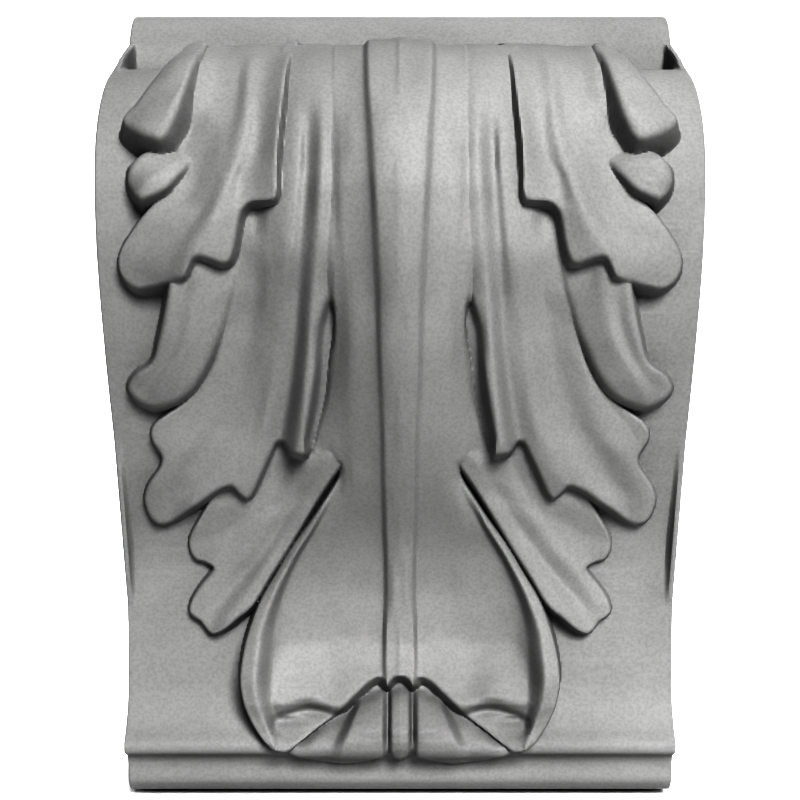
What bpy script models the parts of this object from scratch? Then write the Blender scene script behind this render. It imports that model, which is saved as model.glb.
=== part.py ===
"""Carved corbel: one block of limestone, a console with a plain slab on top,
a rolled front and a swept tail, carved on its face with an acanthus leaf.

The back lies on y = 0 with its centre on the origin, the front faces -Y and
+Z is up.  A lobe of the leaf has an outline in millimetres (distance from
the middle, height on the body), an edge (radius of the arris, slope of the
wall below it) and flow lines, whose points also give the relief there.
"""
import bmesh
import bpy
import math
import numpy as np

MM = 0.001
HEIGHT = 0.300            # back edge, bottom to top
WIDTH = 0.207             # plain side to plain side
SLAB_DEPTH = 0.0548       # flat top before the nose turns down
NOSE = (0.0152, 0.0244)   # rounded front of the slab, depth and height
ROLL_CENTRE = (0.078, 0.076)
ROLL_SIZE = (0.0478, 0.0463)
ROLL_BACK = ((0.0044, 0.0050), (0.0082, 0.0105))   # from the groove upwards
FOOT_DEPTH = 0.060        # flat underside
LEAN_LIMIT = 57.0         # steepest direction the relief rises in, degrees
STEP = 0.0011             # spacing of the modelled face before it is thinned
TRIANGLES = 9500
LEAF_FADE = 0.012         # the leaf dies away behind the top of the roll
WEB = 0.0035              # thin fins along both side edges
FRONT = 0.065             # fins start in front of this depth
NECK_FIN = (0.136, 0.100)     # height on the nose, depth and height on the roll
TAIL_FIN = (-0.015, -0.078)   # heights on the sweep
SEAM_DEPTH = 0.032        # the mesh of a side closes on an upright seam
SEAM_REACH = 0.110
SEAM_PITCH = 0.004
SIDE_COLUMNS = 8
MERGE = 0.00001
ARC_POINTS = 40
ARRIS_REACH = 0.97        # share of the quarter turn kept on a rounded arris
ARRIS_FALL = 0.8          # fall over that turn, as a share of its radius
UNDER_BLEND = 0.004       # a curled-under wall turns steep over this width
LINE_GAP = 0.0004         # flow lines keep this distance
STONE_COLOUR = (0.62, 0.61, 0.59, 1.0)
STONE_ROUGHNESS = 0.75

# Body below the roll: (depth, height), top to bottom, then the tail scroll.
SWEEP = ((125.5, 70), (122, 49), (112, 21), (99, -7.5), (84, -37.5),
         (76, -56), (72, -78), (70.5, -100), (71, -114), (74.5, -123),
         (78.3, -129), (77.5, -132.5), (72.5, -135), (70.5, -139),
         (70, -145), (67, -149))

# Midrib: (height, half width of its crown, relief of its crest).
MIDRIB = ((120, 11, 12), (101, 10, 16), (83, 8.3, 23), (67, 7.5, 27),
          (48, 6.5, 26.5), (20, 6, 23), (-10, 5.2, 19), (-32, 5, 15),
          (-55, 4.5, 10), (-80, 4.7, 4.5), (-91, 5, 4), (-97, 5, 5.5),
          (-103, 4.8, 9))
MIDRIB_CROWN = 1.2        # fall from the crest to the edge of the crown
MIDRIB_WALL = (2.5, 3.0)  # width and fall of the wall beside the crown

BLADE = {
    "outline": ((-11, 120.5), (36, 120.5), (33, 93), (32.5, 65), (32, 36.5),
                (26.5, 32.5), (23, 31.5), (22.5, 24), (26.5, 0), (31.5, -19),
                (29, -21.5), (21.5, -23), (22, -27), (32, -43), (46.5, -65),
                (57, -88), (59, -105), (54, -122), (49.5, -127.5),
                (42, -130.5), (31.5, -123.5), (19.5, -113), (12, -106.2),
                (8.5, -104.5), (4.8, -106.8), (0, -103.8), (-11, -104)),
    "edge": (2.2, 4.5),
    "under": (30, -95, 1.9),
    "lines": (
        ((17.5, 118, 9), (16.5, 93.5, 14.5), (16.5, 67.5, 20), (17, 33, 17.5),
         (17, 0, 14), (17, -29, 11.5), (17.5, -44, 8.5), (18, -60, 4.5),
         (18.5, -76, 1), (18.5, -89, 0.5), (18.3, -99, 3.5),
         (18, -113, 10)),
        ((20.5, 119, 9), (19.5, 93.5, 14), (19.5, 52, 18.4), (20.5, 33, 15.5),
         (22.5, 0, 11), (23.5, -14.5, 10.5), (19.5, -29, 10.5),
         (22.5, -44, 8.5), (28.5, -60, 5), (32.5, -75.5, 2.5),
         (35.5, -91, 2), (35, -108, 9.5), (34.5, -110.5, 10.5),
         (33.5, -117.3, 3.8), (32, -121.5, 5.8)),
        ((23, 120, 9), (22, 94, 13.5), (23, 52, 17.3), (23.5, 36.5, 14),
         (23.5, 17, 11), (26.5, 0, 8.5), (30.5, -14.5, 8.4), (27.5, -21, 9),
         (21.8, -29, 9.3), (28.6, -44, 8), (37.7, -59.5, 6), (44, -75, 5.8),
         (47, -90, 6.5), (47.2, -112, 10.8), (46.6, -121, 4.5),
         (45.5, -125.5, 7.5)),
        ((28, 120, 4.5), (27, 94, 9), (28, 52, 13.5), (28.5, 36.5, 9.5),
         (28.5, 30, 12.5), (32.5, 0, 8.5), (36.5, -14.5, 8.4),
         (24, -29, 9.6), (30.6, -44, 10.2), (39.9, -59, 9.8),
         (47.7, -74, 11.5), (52.5, -89, 14), (53.5, -102.5, 18),
         (52.5, -112, 16.5), (48.5, -123, 10), (46, -128, 8))),
}

TONGUE = {
    "outline": ((-11, -98), (6, -98), (12, -100), (27, -113), (41, -126),
                (42.5, -130), (36.5, -134.5), (30, -136.3), (20, -137),
                (11, -135.5), (4, -132), (0, -135.8), (-11, -135.8)),
    "edge": (2.6, 3.0),
    "lines": (
        ((0, -102, 0.5), (0, -108, 1.5), (0, -110.5, 6.5), (0, -118, 13),
         (0, -121.5, 14), (0, -128, 9), (0, -134, 5.5)),
        ((3, -103, 0.5), (3, -108.7, 1.2), (3, -111.2, 6), (3, -118, 12.3),
         (3, -121.5, 13.3), (2.8, -128, 8.3), (2.5, -134, 5)),
        ((4.5, -105, 0), (4.5, -110, 0.5), (4.5, -121.5, 9),
         (4.5, -131.5, 3)),
        ((7, -103, 0.5), (7, -109.2, 1.2), (7, -111.7, 6), (7, -118.3, 12.5),
         (7, -121.5, 13.5), (7, -128, 8.5), (6.5, -134, 5)),
        ((12, -105, 0.5), (12.5, -111, 1.5), (16.5, -117.5, 10.5),
         (18, -121.5, 12.8), (20.5, -128.5, 8.8), (21, -134, 5.5)),
        ((14.5, -108, 0.5), (17.5, -115, 1.5), (23, -123.5, 6.8),
         (25.3, -127.5, 6.5), (27, -133, 4.5)),
        ((20, -112, 0), (24.5, -119, 2), (31.5, -126.5, 6.3),
         (34.5, -133, 4.5)),
        ((26, -115, 0), (36, -126.5, 2.5), (42, -132, 3.5))),
}

MIDDLE_LOBE = {
    "outline": ((16, 120.5), (15, 93), (15, 65), (16, 37), (20, 31),
                (20.5, 16), (28, -13), (34, -19.5), (39, -18.5), (42, -15),
                (46, -19), (55.5, -36), (60.5, -31.5), (67, -33.5),
                (78.5, -41), (89, -46), (94, -37), (86.5, -23), (89, -12),
                (83.5, -5.5), (73.5, 1.5), (65.5, 12), (59, 37), (67, 43.5),
                (66.5, 82), (52, 111.5)),
    "edge": (1.8, 3.6),
    "lines": (
        ((16, 120, 1), (15, 94, 5.5), (16, 52, 10), (19, 36.5, 9.5),
         (25.5, -2, 6.5), (30, -14, 7)),
        ((19, 120, 5), (18, 94, 9), (19, 52, 13), (21.5, 36.5, 10),
         (28.8, -2, 8.5), (32, -14, 10)),
        ((22.5, 120, 8.5), (21.5, 94, 13), (22.5, 52, 16.8), (24.5, 36.5, 14),
         (30, 6.5, 16), (33.5, -14, 17)),
        ((27.5, 118, 9.5), (25.5, 93.5, 14), (26.5, 52, 17.5), (29, 33, 15),
         (32.5, 0, 17), (36, -19.5, 17)),
        ((32, 118.5, 9.5), (30.5, 94, 13), (31, 81, 11.5), (33, 52.5, 13.4),
         (35, 33.5, 9.8), (43.5, -14.5, 8)),
        ((35.5, 118.5, 9.5), (33.5, 94.5, 12.5), (35.5, 52.5, 14.4),
         (38.5, 33.5, 10.5), (45, 0, 9), (62, -36.5, 9)),
        ((40.5, 89.5, 10), (43, 60, 11.5), (43.5, 37, 10), (47.5, 13.5, 7.5),
         (53, -11, 7.5), (64, -27.5, 8.5), (78, -44, 8)),
        ((47, 73, 7), (48.5, 50, 9.5), (51.5, 29, 6), (59, 0, 5),
         (69.5, -18, 5.5), (85, -43, 5)),
        ((54, 50, 8), (57.5, 24, 6), (67, 0, 6), (77, -18, 6.5),
         (89.5, -43, 5)),
        ((60, 33.5, 7.5), (73, 0, 5), (87.5, -18, 4.5), (95, -43, 4))),
}

MIDDLE_TIP = {
    "outline": ((53, 48), (58, 30), (64, 16.5), (72, 3.5), (81, -2),
                (90, -2), (95.5, 4), (91.5, 9.5), (84.5, 15), (79, 33.5),
                (76.5, 41.5), (68, 48)),
    "edge": (2.4, 3.0),
    "lines": (
        ((54, 37, 8), (62, 19.5, 8), (67, 9, 8.5), (74, -3, 6.5)),
        ((63, 40, 10), (67.5, 19, 10), (80, -4, 7)),
        ((68, 43, 12), (72.5, 21, 11.5), (78, 11, 11), (86, -4, 7)),
        ((72, 38, 11), (78, 18, 10.2), (91, -3, 6.5)),
        ((76.5, 36, 11.6), (82, 17, 10.5), (92.5, 4, 7)),
        ((80, 36.5, 10.5), (86, 17, 9.8), (96, 4, 6))),
}

LOWER_LOBE = {
    "outline": ((35.5, -9), (17.5, -9), (18, -18), (25.3, -29.5),
                (35.3, -45.5), (48.5, -66.5), (57, -79), (62, -82.5),
                (70, -88), (75, -83.5), (79.5, -79), (75, -69.5), (70, -63),
                (76.5, -60), (79, -53), (73.5, -42.5), (63.5, -27.5),
                (46.5, -13)),
    "edge": (1.6, 4.0),
    "lines": (
        ((17, -11, 8), (18.5, -18.5, 9.3), (22.5, -25, 9.8), (31, -37, 8.8),
         (43, -56, 9.3), (55, -76, 10)),
        ((22, -11, 7), (23, -17, 9.6), (25.5, -21, 9.8), (34, -36.5, 7.8),
         (46, -56, 8.8), (58.5, -75, 9.3), (66, -88, 8)),
        ((27.5, -12, 6), (28.5, -17.5, 8.6), (33, -27.5, 8),
         (38.5, -36.5, 5.8), (51.5, -56, 6.5), (67.5, -75, 5), (74, -88, 5)),
        ((32.5, -14.5, 5), (34.5, -21, 8), (42.5, -37.5, 5.5), (56.5, -56, 7),
         (71.5, -74, 5.5), (78, -88, 5)),
        ((39.5, -18, 4), (49.5, -37, 4), (63.5, -56, 5.5), (80, -82, 5)),
        ((52.5, -27.5, 4), (59, -37, 4.5), (72, -54, 4), (82, -80, 4)),
        ((62, -33, 3.5), (73, -46.5, 4), (84, -80, 3.5))),
}

UPPER_LOBE = {
    "outline": ((66.5, 120.5), (34, 120.5), (37.5, 110), (38.5, 92.5),
                (40, 68), (43, 65), (48, 65), (52.5, 61), (55.5, 48),
                (59, 45), (66, 47), (71.5, 41), (79, 39), (89, 37.5),
                (95, 46.5), (87, 60), (76, 71), (72.5, 78.5), (78, 86),
                (75.5, 99.5), (72, 115)),
    "edge": (1.5, 3.8),
    "lines": (
        ((34.5, 114, 10), (38, 103, 13.5), (38.5, 92.5, 16),
         (40, 65.5, 17.5)),
        ((45.5, 114.5, 9.5), (47, 101.5, 11), (47.5, 87.5, 12),
         (52, 74, 12), (52.5, 63, 14)),
        ((49.5, 114, 9.5), (50.5, 94.5, 12.5), (52.5, 80.5, 13),
         (58.5, 65, 15.5), (69, 45, 16)),
        ((56, 115, 9), (58, 81, 11), (64.5, 65, 12.5), (75.5, 49, 12.5),
         (79, 39.5, 11)),
        ((61, 116.5, 8.5), (62.5, 94.5, 9.5), (67.5, 77.5, 7.5),
         (78, 59.5, 10), (87, 39, 8)),
        ((67, 115, 9), (66.5, 96, 10), (70, 87, 6.5), (77.5, 69, 8),
         (93.5, 42, 6.5))),
}

UPPER_TIP = {
    "outline": ((67.5, 79.5), (73, 74), (81.5, 67), (86, 66), (90.5, 72.5),
                (88, 79), (78, 84.5), (69.5, 85)),
    "edge": (2.2, 3.2),
    "lines": (
        ((66, 81.5, 5), (72.5, 74.5, 10.5), (84, 66, 12)),
        ((73, 83, 5), (77, 78, 9.8), (85.5, 68, 12)),
        ((83, 82, 7.5), (87.5, 78.5, 9.5), (89.5, 69.5, 8.5))),
}

TOP_LOBE = {
    "outline": ((68.5, 118.5), (69.5, 104.5), (72, 91.5), (78.5, 83),
                (86.5, 85), (92, 89.5), (87.5, 95), (80, 109.5),
                (75.5, 118.5)),
    "edge": (2.2, 3.2),
    "lines": (
        ((68, 114, 10.5), (69, 105.5, 14), (74.5, 92.5, 17), (80, 85, 15.5)),
        ((73, 114, 10), (77.5, 98, 15), (84.5, 87, 14.5)),
        ((78, 114.5, 9), (85.5, 97, 12.5), (90, 90.5, 12))),
}


def clear_scene():
    for item in list(bpy.data.objects):
        bpy.data.objects.remove(item)


def stone():
    """Pale limestone, rubbed smooth."""
    material = bpy.data.materials.new("limestone")
    material.use_nodes = True
    shader = material.node_tree.nodes["Principled BSDF"]
    shader.inputs["Base Color"].default_value = STONE_COLOUR
    shader.inputs["Roughness"].default_value = STONE_ROUGHNESS
    return material


def ellipse(centre, size, start, end, count):
    """Points of an ellipse between two angles in degrees."""
    angles = np.radians(np.linspace(start, end, count))
    return np.stack([centre[0] + size[0] * np.cos(angles),
                     centre[1] + size[1] * np.sin(angles)], axis=1)


def smooth_curve(points, closed, count=6):
    """A curve through the points, its tangents weighted by the spacing."""
    points = np.array(points, dtype=float)
    total = len(points)
    spans = total if closed else total - 1
    curve = []
    for i in range(spans):
        if closed:
            p0, p1, p2, p3 = (points[(i + k) % total] for k in (-1, 0, 1, 2))
        else:
            p1, p2 = points[i], points[i + 1]
            p0 = points[i - 1] if i > 0 else 2 * p1 - p2
            p3 = points[i + 2] if i + 2 < total else 2 * p2 - p1
        before, span, after = (np.linalg.norm(b - a) for a, b in
                               ((p0, p1), (p1, p2), (p2, p3)))
        leave = (p2 - p0) * span / (span + before)
        arrive = (p3 - p1) * span / (span + after)
        for t in np.arange(count) / count:
            curve.append((2 * t**3 - 3 * t**2 + 1) * p1
                         + (t**3 - 2 * t**2 + t) * leave
                         + (3 * t**2 - 2 * t**3) * p2
                         + (t**3 - t**2) * arrive)
    if not closed:
        curve.append(points[-1])
    return np.array(curve)


def body_profile():
    """Side outline of the block (depth, height): top, nose, roll, sweep."""
    top = HEIGHT / 2
    nose = ellipse((SLAB_DEPTH, top - NOSE[1]), NOSE, 90, -43, ARC_POINTS)
    groove = nose[-1]
    roll = ellipse(ROLL_CENTRE, ROLL_SIZE, 88, 6, ARC_POINTS)
    neck = smooth_curve([groove, *(groove + ROLL_BACK), roll[0]], False)
    sweep = smooth_curve(np.vstack([roll[-2:], np.array(SWEEP) * MM]), False)
    return np.vstack([[(0.0, top)], nose, neck[1:], roll[1:-1], sweep[1:],
                      [(FOOT_DEPTH, -top), (0.0, -top)]])


def resample(points):
    """The same line with evenly spaced points, and how far along each is."""
    walk = np.concatenate([[0.0], np.cumsum(np.hypot(*np.diff(points, axis=0).T))])
    evenly = np.linspace(0, walk[-1], int(walk[-1] / STEP))
    marks = np.unique(np.concatenate([evenly, [walk[1], walk[-2]]]))
    line = [np.interp(marks, walk, points[:, k]) for k in (0, 1)]
    return np.stack(line, axis=1), marks


def slopes(x, y):
    """Tangents that never overshoot, for values y at x along axis 0."""
    gaps = np.diff(x, axis=0)
    rise = np.diff(y, axis=0) / gaps
    result = np.zeros_like(y)
    result[0] = rise[0]
    result[-1] = rise[-1]
    first = 2 * gaps[1:] + gaps[:-1]
    second = gaps[1:] + 2 * gaps[:-1]
    same = rise[:-1] * rise[1:] > 0
    a = np.where(same, rise[:-1], 1.0)
    b = np.where(same, rise[1:], 1.0)
    result[1:-1] = np.where(same, (first + second) / (first / a + second / b),
                            0.0)
    return result


def blend_through(x, y, where):
    """Smooth values y at x read at each column of where, flat beyond."""
    tangents = slopes(x, y)
    result = np.repeat(y[:1].T, where.shape[1], axis=1)
    for i in range(len(x) - 1):
        start = x[i][:, None]
        gap = x[i + 1][:, None] - start
        t = (where - start) / gap
        u = np.clip(t, 0, 1)
        value = ((2 * u**3 - 3 * u**2 + 1) * y[i][:, None]
                 + (u**3 - 2 * u**2 + u) * gap * tangents[i][:, None]
                 + (3 * u**2 - 2 * u**3) * y[i + 1][:, None]
                 + (u**3 - u**2) * gap * tangents[i + 1][:, None])
        result = np.where(t >= 0, value, result)
    return result


def along_line(line, heights):
    """Position across and relief of one flow line at the given heights."""
    points = np.array(sorted(line, key=lambda point: point[1])) * MM
    z = points[:, 1:2]
    where = np.clip(heights, z[0, 0], z[-1, 0])[None, :]
    return [blend_through(z, points[:, k:k + 1], where)[0] for k in (0, 2)]


def relief_net(lines, across, heights):
    """Relief of a surface stretched over its flow lines."""
    pairs = [along_line(line, heights) for line in lines]
    x = np.array([pair[0] for pair in pairs])
    relief = np.array([pair[1] for pair in pairs])
    for i in range(1, len(x)):
        x[i] = np.maximum(x[i], x[i - 1] + LINE_GAP)
    grid = np.repeat(across[None, :], len(heights), axis=0)
    return blend_through(x, relief, grid)


def inside_distance(outline, x, y):
    """Distance to a closed outline, positive inside it."""
    nearest = np.full(x.shape, 1.0)
    inside = np.zeros(x.shape, dtype=bool)
    for (x0, y0), (x1, y1) in zip(outline, np.roll(outline, -1, axis=0)):
        run, rise = x1 - x0, y1 - y0
        t = ((x - x0) * run + (y - y0) * rise) / (run * run + rise * rise)
        t = np.clip(t, 0, 1)
        nearest = np.minimum(nearest, (x - x0 - t * run)**2
                             + (y - y0 - t * rise)**2)
        if rise != 0:
            crossing = (y0 > y) != (y1 > y)
            inside ^= crossing & (x < x0 + (y - y0) * run / rise)
    return np.where(inside, 1, -1) * np.sqrt(nearest)


def edge_drop(distance, radius, slope):
    """How far the surface falls: a rounded arris, then a steep wall."""
    turn = np.clip(1 - distance / radius, 0, ARRIS_REACH)
    rounded = ARRIS_FALL * radius * (1 - np.sqrt(1 - turn**2))
    wall = np.clip(radius * (1 - ARRIS_REACH) - distance, 0, None) * slope
    return rounded + wall


def midrib_lines():
    """Crest of the midrib, edge of its crown and foot of its wall."""
    wide, high = MIDRIB_WALL
    crest = [(0, z, rise) for z, width, rise in MIDRIB]
    crown = [(width, z, rise - MIDRIB_CROWN) for z, width, rise in MIDRIB]
    foot = [(x + wide, z, rise - high) for x, z, rise in crown]
    return [crest, crown, foot]


def fade(values, start, end):
    """Smooth ramp from 0 at start to 1 at end."""
    t = np.clip((values - start) / (end - start), 0, 1)
    return t * t * (3 - 2 * t)


def wall_slope(lobe, x, heights):
    """Slope of the wall round a lobe, gentler where the lobe curls under:
    nearer the middle and lower down than the first two values of "under"."""
    slope = lobe["edge"][1]
    if "under" not in lobe:
        return slope
    wide, high, gentle = lobe["under"]
    steep = np.maximum(fade(x, wide * MM - UNDER_BLEND, wide * MM),
                       heights[:, None] > high * MM)
    return gentle + (slope - gentle) * steep


def lobe_relief(lobe, across, heights, arcs):
    """Relief of one lobe: its stretched surface less the fall at its edge."""
    x, y = np.meshgrid(across, arcs)
    order = np.argsort(heights)
    outline = smooth_curve(lobe["outline"], True) * MM
    outline[:, 1] = np.interp(outline[:, 1], heights[order], arcs[order])
    fall = edge_drop(inside_distance(outline, x, y), lobe["edge"][0] * MM,
                     wall_slope(lobe, x, heights))
    return relief_net(lobe["lines"], across, heights) - fall


def leaf_relief(across, heights, arcs):
    """Relief of the whole leaf: the highest of its overlapping lobes."""
    blade = dict(BLADE, lines=midrib_lines() + list(BLADE["lines"]))
    lobes = (LOWER_LOBE, MIDDLE_LOBE, blade, TONGUE, MIDDLE_TIP, UPPER_LOBE,
             UPPER_TIP, TOP_LOBE)
    surfaces = [lobe_relief(lobe, across, heights, arcs) for lobe in lobes]
    return np.maximum(np.maximum.reduce(surfaces), 0)


def chord_between(profile, first, last):
    """The profile with a straight line between two of its points."""
    result = profile.copy()
    t = np.linspace(0, 1, last - first + 1)[:, None]
    result[first:last + 1] = (1 - t) * profile[first] + t * profile[last]
    return result


def webbed_profile(profile):
    """Outline along the side edges: fins bridge the neck and the sweep."""
    depth, height = profile[:, 0], profile[:, 1]
    rows = np.flatnonzero(depth > FRONT)
    nose = rows[height[rows] > NECK_FIN[0]][-1]
    roll = rows[np.minimum(depth, height)[rows] > NECK_FIN[1]][0]
    upper, lower = (rows[height[rows] > end][-1] for end in TAIL_FIN)
    result = chord_between(profile, nose, roll)
    return chord_between(result, upper, lower)


def carved_face():
    """Grid of points of half the face, rows down the front."""
    profile, arcs = resample(body_profile())
    columns = int(WIDTH / 2 / STEP)
    across = np.linspace(0, WIDTH / 2, columns)
    depth, height = profile[:, 0], profile[:, 1]
    crest = int(np.argmax(np.where(depth > ROLL_CENTRE[0], height, -1)))
    relief = np.zeros((len(profile), columns))
    relief[crest:-3] = leaf_relief(across, height[crest:-3], arcs[crest:-3])
    start = arcs[crest] - LEAF_FADE
    relief[:crest] = relief[crest] * fade(arcs[:crest], start, arcs[crest])[:, None]
    rise = np.clip((height - ROLL_CENTRE[1]) / ROLL_SIZE[1], 0, 1)
    lean = np.minimum(np.arcsin(rise), math.radians(LEAN_LIMIT))[:, None]
    fin = fade(across, WIDTH / 2 - WEB, WIDTH / 2 - WEB / 2)[None, :]
    web = webbed_profile(profile)
    out, up = (profile[:, k:k + 1] * (1 - fin) + web[:, k:k + 1] * fin
               for k in (0, 1))
    side = np.repeat(across[None, :], len(profile), axis=0)
    return np.stack([side, -out - relief * np.cos(lean),
                     up + relief * np.sin(lean)], axis=2)


def closed_loop(points):
    """The face grid with rows added down the back, closing the loop."""
    count = int(HEIGHT / (3 * STEP))
    drop = np.linspace(0, 1, count + 1)[1:-1, None, None]
    back = points[-1:] * (1 - drop) + points[:1] * drop
    return np.concatenate([points, back])


def add_side(points):
    """Columns that close the plain side, drawn in to an upright seam."""
    edge = points[:, -1:]
    seam = edge.copy()
    seam[:, :, 1] = -SEAM_DEPTH
    height = np.clip(edge[:, :, 2], -SEAM_REACH, SEAM_REACH)
    seam[:, :, 2] = np.round(height / SEAM_PITCH) * SEAM_PITCH
    share = np.linspace(0, 1, SIDE_COLUMNS + 1)[1:][None, :, None]
    return np.concatenate([points, edge * (1 - share) + seam * share], axis=1)


def half_block(points):
    """Half of the block, open at the middle: a grid rolled into a tube."""
    rows, columns = points.shape[:2]
    loop = np.concatenate([points, points[:1]])
    mesh = bmesh.new()
    bmesh.ops.create_grid(mesh, x_segments=columns - 1, y_segments=rows,
                          size=1.0)
    mesh.verts.ensure_lookup_table()
    for vertex, place in zip(mesh.verts, loop.reshape(-1, 3)):
        vertex.co = place
    bmesh.ops.remove_doubles(mesh, verts=mesh.verts, dist=MERGE)
    bmesh.ops.recalc_face_normals(mesh, faces=mesh.faces)
    return mesh


def corbel(material):
    """The block: half of it mirrored, then thinned to flat facets."""
    mesh = half_block(add_side(closed_loop(carved_face())))
    data = bpy.data.meshes.new("carved_corbel")
    mesh.to_mesh(data)
    half_count = sum(len(face.verts) - 2 for face in mesh.faces)
    mesh.free()
    data.materials.append(material)
    block = bpy.data.objects.new("carved_corbel", data)
    mirror = block.modifiers.new("mirror", "MIRROR")
    mirror.merge_threshold = MERGE
    thin = block.modifiers.new("thin", "DECIMATE")
    thin.ratio = TRIANGLES / (2 * half_count)
    thin.use_symmetry = True
    thin.symmetry_axis = "X"
    return block


def main():
    clear_scene()
    collection = bpy.data.collections.new("carved corbel")
    bpy.context.scene.collection.children.link(collection)
    collection.objects.link(corbel(stone()))


main()
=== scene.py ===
# %% [markdown]
# # A carved corbel
#
# A corbel is a bracket of stone that is built into a wall and carries a shelf or a beam.  This one is a
# single block: a plain slab on top, a thick roll under it, a body that sweeps back like an S, and an
# acanthus leaf carved over the roll and down to a small curl at the foot.  The block's CAD model gives the
# size and the place, and stays in the scene as a frame.  This lesson carves the same form finely.

# %% The frame
import math
import bmesh
import bpy
import numpy as np
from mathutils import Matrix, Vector


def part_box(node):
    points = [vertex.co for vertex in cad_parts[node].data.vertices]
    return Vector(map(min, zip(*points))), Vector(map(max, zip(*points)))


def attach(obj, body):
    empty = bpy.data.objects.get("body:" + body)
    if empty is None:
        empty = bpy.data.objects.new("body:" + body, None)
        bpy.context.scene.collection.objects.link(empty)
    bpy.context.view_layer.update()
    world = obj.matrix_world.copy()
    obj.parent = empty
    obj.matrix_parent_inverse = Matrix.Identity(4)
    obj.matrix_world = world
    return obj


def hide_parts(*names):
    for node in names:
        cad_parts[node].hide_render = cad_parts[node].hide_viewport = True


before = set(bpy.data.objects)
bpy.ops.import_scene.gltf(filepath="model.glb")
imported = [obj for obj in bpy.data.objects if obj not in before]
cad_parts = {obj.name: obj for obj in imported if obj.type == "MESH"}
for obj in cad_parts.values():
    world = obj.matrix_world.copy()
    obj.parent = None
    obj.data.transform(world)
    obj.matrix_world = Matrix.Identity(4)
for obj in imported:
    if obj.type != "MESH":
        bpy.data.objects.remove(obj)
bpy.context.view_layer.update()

BLOCK = "carved_corbel"
lowest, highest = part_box(BLOCK)
print("the CAD block runs from", [round(v, 4) for v in lowest], "to", [round(v, 4) for v in highest])

# %% [markdown]
# ## Named sizes
#
# A mason starts with a few chalk lines on the block: how high, how wide, how deep the slab is, where the
# middle of the roll sits.  Everything below is worked out from these numbers.  Lengths are in metres,
# but the leaf is drawn in millimetres because its numbers are easier to read that way.

# %% Named sizes
MM = 0.001
HEIGHT = 0.300                      # back edge, bottom to top
WIDTH = 0.207                       # plain side to plain side
SLAB_DEPTH = 0.0548                 # flat top before the nose turns down
NOSE = (0.0152, 0.0244)             # rounded front of the slab, depth and height
ROLL_CENTRE = (0.078, 0.076)        # depth and height of the middle of the roll
ROLL_SIZE = (0.0478, 0.0463)        # its half depth and half height
LEAN_LIMIT = 57.0                   # steepest direction in which the leaf stands up, in degrees
FOOT_DEPTH = 0.060                  # depth of the flat underside
TOP = HEIGHT / 2
print("block", WIDTH, "m wide and", HEIGHT, "m high, roll", round(2 * ROLL_SIZE[1], 3), "m thick")

# %% [markdown]
# ## Smooth lines through a few points
#
# Drawing a curve point by point would take hundreds of numbers.  It is easier to give the few places that
# matter and let a formula run smoothly through them, as a bent strip of wood does.

# %% Curve helpers
def ellipse(centre, size, start, end, count):
    """Centre plus (half depth times cosine, half height times sine), for angles from start to end."""
    angles = np.radians(np.linspace(start, end, count))
    return np.stack([centre[0] + size[0] * np.cos(angles), centre[1] + size[1] * np.sin(angles)], axis=1)


def cubic(t, start, end, leave, arrive):
    """Point at t, from 0 to 1, of the curve that leaves start and arrives at end with these tangents."""
    return ((2 * t**3 - 3 * t**2 + 1) * start + (t**3 - 2 * t**2 + t) * leave
            + (3 * t**2 - 2 * t**3) * end + (t**3 - t**2) * arrive)


def smooth_curve(points, closed, count):
    """Cubic pieces of count points each, whose tangents follow from the neighbours and their spacing."""
    points = np.array(points, dtype=float)
    if closed:
        ring = np.vstack([points[-1:], points, points[:2]])
    else:
        ring = np.vstack([2 * points[:1] - points[1:2], points, 2 * points[-1:] - points[-2:-1]])
    p0, p1, p2, p3 = ring[:-3], ring[1:-2], ring[2:-1], ring[3:]
    before = np.linalg.norm(p1 - p0, axis=1)[:, None]
    span = np.linalg.norm(p2 - p1, axis=1)[:, None]
    after = np.linalg.norm(p3 - p2, axis=1)[:, None]
    leave = ((p2 - p0) * span / (span + before))[:, None]
    arrive = ((p3 - p1) * span / (span + after))[:, None]
    t = (np.arange(count) / count)[None, :, None]
    curve = cubic(t, p1[:, None], p2[:, None], leave, arrive).reshape(-1, 2)
    return curve if closed else np.vstack([curve, points[-1:]])


ring_sample = smooth_curve([(0, 0), (1, 0), (1, 1), (0, 1)], True, 6)
print("a smooth ring through 4 points has", len(ring_sample), "points")

# %% [markdown]
# ## The side outline
#
# Seen from the side the block is one line: the flat top, the rounded nose of the slab, a tight groove, the
# roll, and the long sweep down to the small curl.  On a real corbel this line is cut with a saw and a
# templet before any leaf is drawn, so it comes first here too.  Points are (depth from the wall, height).

# %% The side outline
SWEEP = ((125.5, 70), (122, 49), (112, 21), (99, -7.5), (84, -37.5), (76, -56), (72, -78), (70.5, -100),
         (71, -114), (74.5, -123), (78.3, -129), (77.5, -132.5), (72.5, -135), (70.5, -139), (70, -145),
         (67, -149))
ROLL_BACK = ((4.4, 5.0), (8.2, 10.5))     # the roll's hidden back, measured from the bottom of the groove
NOSE_TURN = (90, -43)               # degrees between which the nose is rounded
ROLL_TURN = (88, 6)                 # degrees between which the roll is an ellipse
NOSE_POINTS = 60
ROLL_POINTS = 120
PIECE_POINTS = 16                   # points on each piece of the freely drawn parts


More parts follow.
